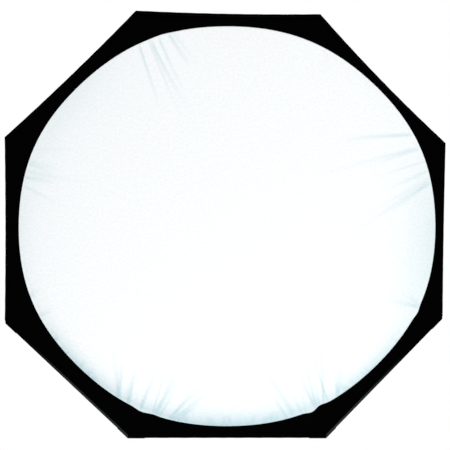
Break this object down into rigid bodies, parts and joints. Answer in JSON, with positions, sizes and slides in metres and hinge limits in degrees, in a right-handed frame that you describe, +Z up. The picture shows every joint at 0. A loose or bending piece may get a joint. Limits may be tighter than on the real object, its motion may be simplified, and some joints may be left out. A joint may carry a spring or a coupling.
{
  "type": "octabox",
  "caption": "Octagonal folding softbox: recessed round white diffuser in a black surround, bowed rods on a turning speed ring, ribbed cloth cover, inner baffle.",
  "frame": {"origin": "centre of the head adapter's rear seat, on the optical axis, where the flash head's face bears", "axes": "+Y along the optical axis, towards the flash head (light leaves towards -Y); +Z up, parallel to the top edge's normal; +X to the right of a person facing the diffuser"},
  "size_m": [1.408, 0.571, 1.408],
  "materials": {
    "adapter_metal": "machined",
    "ring_metal": "black anodised",
    "fastener_steel": "zinc plated",
    "holder_plastic": "moulded, fine texture",
    "rod_steel": "spring steel",
    "cover_cloth": "black outside, silver inside",
    "lip_cloth": "matt black",
    "mask_cloth": "matt black",
    "diffuser_cloth": "translucent white",
    "hook_and_loop": "black hook-and-loop",
    "elastic_webbing": "white elastic",
    "pocket_webbing": "black webbing"
  },
  "bodies": {
    "adapter": {"head_adapter": "adapter_metal"},
    "speed_ring": {"speed_ring": "ring_metal", "retainer_ring": "adapter_metal", "retainer_screws": "fastener_steel", "pivot_pins": "fastener_steel", "rear_collar": "cover_cloth"},
    "rib_1": {"rod_holder_1": "holder_plastic", "rod_1": "rod_steel", "corner_pocket_1": "pocket_webbing", "cover_gore_1": "cover_cloth", "lip_1": "lip_cloth"},
    "rib_2": {"rod_holder_2": "holder_plastic", "rod_2": "rod_steel", "corner_pocket_2": "pocket_webbing", "cover_gore_2": "cover_cloth", "lip_2": "lip_cloth"},
    "rib_3": {"rod_holder_3": "holder_plastic", "rod_3": "rod_steel", "corner_pocket_3": "pocket_webbing", "cover_gore_3": "cover_cloth", "lip_3": "lip_cloth"},
    "rib_4": {"rod_holder_4": "holder_plastic", "rod_4": "rod_steel", "corner_pocket_4": "pocket_webbing", "cover_gore_4": "cover_cloth", "lip_4": "lip_cloth"},
    "rib_5": {"rod_holder_5": "holder_plastic", "rod_5": "rod_steel", "corner_pocket_5": "pocket_webbing", "cover_gore_5": "cover_cloth", "lip_5": "lip_cloth"},
    "rib_6": {"rod_holder_6": "holder_plastic", "rod_6": "rod_steel", "corner_pocket_6": "pocket_webbing", "cover_gore_6": "cover_cloth", "lip_6": "lip_cloth"},
    "rib_7": {"rod_holder_7": "holder_plastic", "rod_7": "rod_steel", "corner_pocket_7": "pocket_webbing", "cover_gore_7": "cover_cloth", "lip_7": "lip_cloth"},
    "rib_8": {"rod_holder_8": "holder_plastic", "rod_8": "rod_steel", "corner_pocket_8": "pocket_webbing", "cover_gore_8": "cover_cloth", "lip_8": "lip_cloth"},
    "front_panel": {"front_mask": "mask_cloth", "front_diffuser": "diffuser_cloth", "fastening_strip": "hook_and_loop"},
    "baffle": {"inner_baffle": "diffuser_cloth", "baffle_straps": "elastic_webbing"}
  },
  "joints": [
    {"name": "ring_turns_on_adapter", "type": "hinge", "parent": "adapter", "child": "speed_ring", "pos_m": [0, 0, 0], "axis": [0, 1, 0], "continuous": true},
    {"name": "rib_1_folds", "type": "hinge", "parent": "speed_ring", "child": "rib_1", "pos_m": [0.08684, -0.011, 0.03597], "axis": [0.3827, 0, -0.9239], "range_deg": [0, 50], "deforming": ["cover_gore_1", "lip_1"]},
    {"name": "rib_2_folds", "type": "hinge", "parent": "speed_ring", "child": "rib_2", "pos_m": [0.03597, -0.011, 0.08684], "axis": [0.9239, 0, -0.3827], "range_deg": [0, 50], "deforming": ["cover_gore_2", "lip_2"]},
    {"name": "rib_3_folds", "type": "hinge", "parent": "speed_ring", "child": "rib_3", "pos_m": [-0.03597, -0.011, 0.08684], "axis": [0.9239, 0, 0.3827], "range_deg": [0, 50], "deforming": ["cover_gore_3", "lip_3"]},
    {"name": "rib_4_folds", "type": "hinge", "parent": "speed_ring", "child": "rib_4", "pos_m": [-0.08684, -0.011, 0.03597], "axis": [0.3827, 0, 0.9239], "range_deg": [0, 50], "deforming": ["cover_gore_4", "lip_4"]},
    {"name": "rib_5_folds", "type": "hinge", "parent": "speed_ring", "child": "rib_5", "pos_m": [-0.08684, -0.011, -0.03597], "axis": [-0.3827, 0, 0.9239], "range_deg": [0, 50], "deforming": ["cover_gore_5", "lip_5"]},
    {"name": "rib_6_folds", "type": "hinge", "parent": "speed_ring", "child": "rib_6", "pos_m": [-0.03597, -0.011, -0.08684], "axis": [-0.9239, 0, 0.3827], "range_deg": [0, 50], "deforming": ["cover_gore_6", "lip_6"]},
    {"name": "rib_7_folds", "type": "hinge", "parent": "speed_ring", "child": "rib_7", "pos_m": [0.03597, -0.011, -0.08684], "axis": [-0.9239, 0, -0.3827], "range_deg": [0, 50], "deforming": ["cover_gore_7", "lip_7"]},
    {"name": "rib_8_folds", "type": "hinge", "parent": "speed_ring", "child": "rib_8", "pos_m": [0.08684, -0.011, -0.03597], "axis": [-0.3827, 0, -0.9239], "range_deg": [0, 50], "deforming": ["cover_gore_8", "lip_8"]},
    {"name": "front_panel_comes_off", "type": "slide", "parent": "speed_ring", "child": "front_panel", "axis": [0, -1, 0], "range_m": [0, 0.6601], "deforming": ["front_mask", "front_diffuser", "fastening_strip"]},
    {"name": "baffle_comes_out", "type": "slide", "parent": "speed_ring", "child": "baffle", "axis": [0, -1, 0], "range_m": [0, 0.6601], "deforming": ["inner_baffle", "baffle_straps"]}
  ],
  "couplings": [
    {"joint": "rib_2_folds", "follows": "rib_1_folds", "ratio": 1},
    {"joint": "rib_3_folds", "follows": "rib_1_folds", "ratio": 1},
    {"joint": "rib_4_folds", "follows": "rib_1_folds", "ratio": 1},
    {"joint": "rib_5_folds", "follows": "rib_1_folds", "ratio": 1},
    {"joint": "rib_6_folds", "follows": "rib_1_folds", "ratio": 1},
    {"joint": "rib_7_folds", "follows": "rib_1_folds", "ratio": 1},
    {"joint": "rib_8_folds", "follows": "rib_1_folds", "ratio": 1},
    {"joint": "front_panel_comes_off", "follows": "rib_1_folds", "m_per_rad": 0.7563},
    {"joint": "baffle_comes_out", "follows": "rib_1_folds", "m_per_rad": 0.7563}
  ]
}
